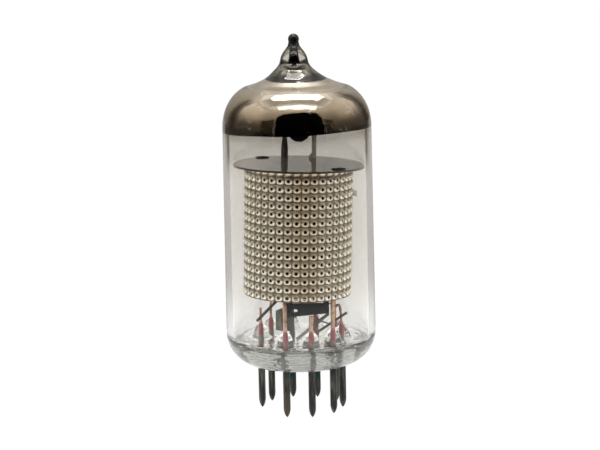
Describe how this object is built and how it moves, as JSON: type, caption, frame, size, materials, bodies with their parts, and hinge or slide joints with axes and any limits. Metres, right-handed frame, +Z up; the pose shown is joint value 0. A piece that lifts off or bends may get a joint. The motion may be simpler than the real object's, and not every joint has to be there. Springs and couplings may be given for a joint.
{
  "type": "vacuum tube",
  "caption": "All-glass miniature vacuum tube: clear bulb with a mirrored dome and drawn tip, perforated metal shield on mica spacers inside, and a ring of pins that plug into a socket.",
  "frame": {"origin": "on the tube's axis, at the level of the pin tips it stands on", "axes": "+Z up along the tube's axis to the exhaust tip, -Y the front, the empty place of the pin circle at the front left"},
  "size_m": [0.0218, 0.0218, 0.055],
  "materials": {
    "clear_glass": "clear blown glass",
    "mirror_film": "silvery brown getter deposit",
    "pin_oxide": "dark oxidised nickel wire",
    "seal_copper": "red copper-clad wire wetted by the glass",
    "lead_copper": "dull copper-tan wire",
    "mica": "split mica sheet",
    "dull_nickel": "dull nickel-plated sheet",
    "bright_nickel": "bright drawn nickel",
    "black_coat": "carbon-blackened nickel",
    "grey_sheet": "grey heat-tinted nickel sheet",
    "brown_wire": "brown heat-tinted nickel",
    "heater_coating": "sprayed white alumina"
  },
  "bodies": {
    "root": {"glass_bulb": "clear_glass", "glass_stem": "clear_glass", "getter_film": "mirror_film", "base_pin_1": "pin_oxide", "base_pin_2": "pin_oxide", "base_pin_3": "pin_oxide", "base_pin_4": "pin_oxide", "base_pin_5": "pin_oxide", "base_pin_6": "pin_oxide", "base_pin_7": "pin_oxide", "base_pin_8": "pin_oxide", "base_pin_9": "pin_oxide", "seal_wire_1": "seal_copper", "seal_wire_2": "seal_copper", "seal_wire_3": "seal_copper", "seal_wire_4": "seal_copper", "seal_wire_5": "seal_copper", "seal_wire_6": "seal_copper", "seal_wire_7": "seal_copper", "seal_wire_8": "seal_copper", "seal_wire_9": "seal_copper", "lead_wire_1": "lead_copper", "lead_wire_2": "lead_copper", "lead_wire_3": "lead_copper", "lead_wire_4": "lead_copper", "lead_wire_5": "lead_copper", "lead_wire_6": "lead_copper", "lead_wire_7": "lead_copper", "lead_wire_8": "lead_copper", "lead_wire_9": "lead_copper", "top_mica": "mica", "bottom_mica": "mica", "perforated_shield": "dull_nickel", "shield_tab_front": "black_coat", "shield_tab_rear": "black_coat", "shield_strap": "black_coat", "base_plate": "grey_sheet", "anode": "black_coat", "anode_lug": "black_coat", "cathode_sleeve": "dull_nickel", "cathode_ribbon": "brown_wire", "heater": "heater_coating", "heater_tie": "brown_wire", "control_grid_rod_left": "bright_nickel", "control_grid_rod_right": "bright_nickel", "control_grid_winding": "bright_nickel", "screen_grid_rod_left": "bright_nickel", "screen_grid_rod_right": "bright_nickel", "screen_grid_winding": "bright_nickel", "suppressor_grid_rod_left": "bright_nickel", "suppressor_grid_rod_right": "bright_nickel", "suppressor_grid_winding": "bright_nickel", "control_grid_jumper": "brown_wire", "getter_cup": "black_coat", "getter_post_left": "black_coat", "getter_post_right": "bright_nickel"}
  },
  "joints": []
}
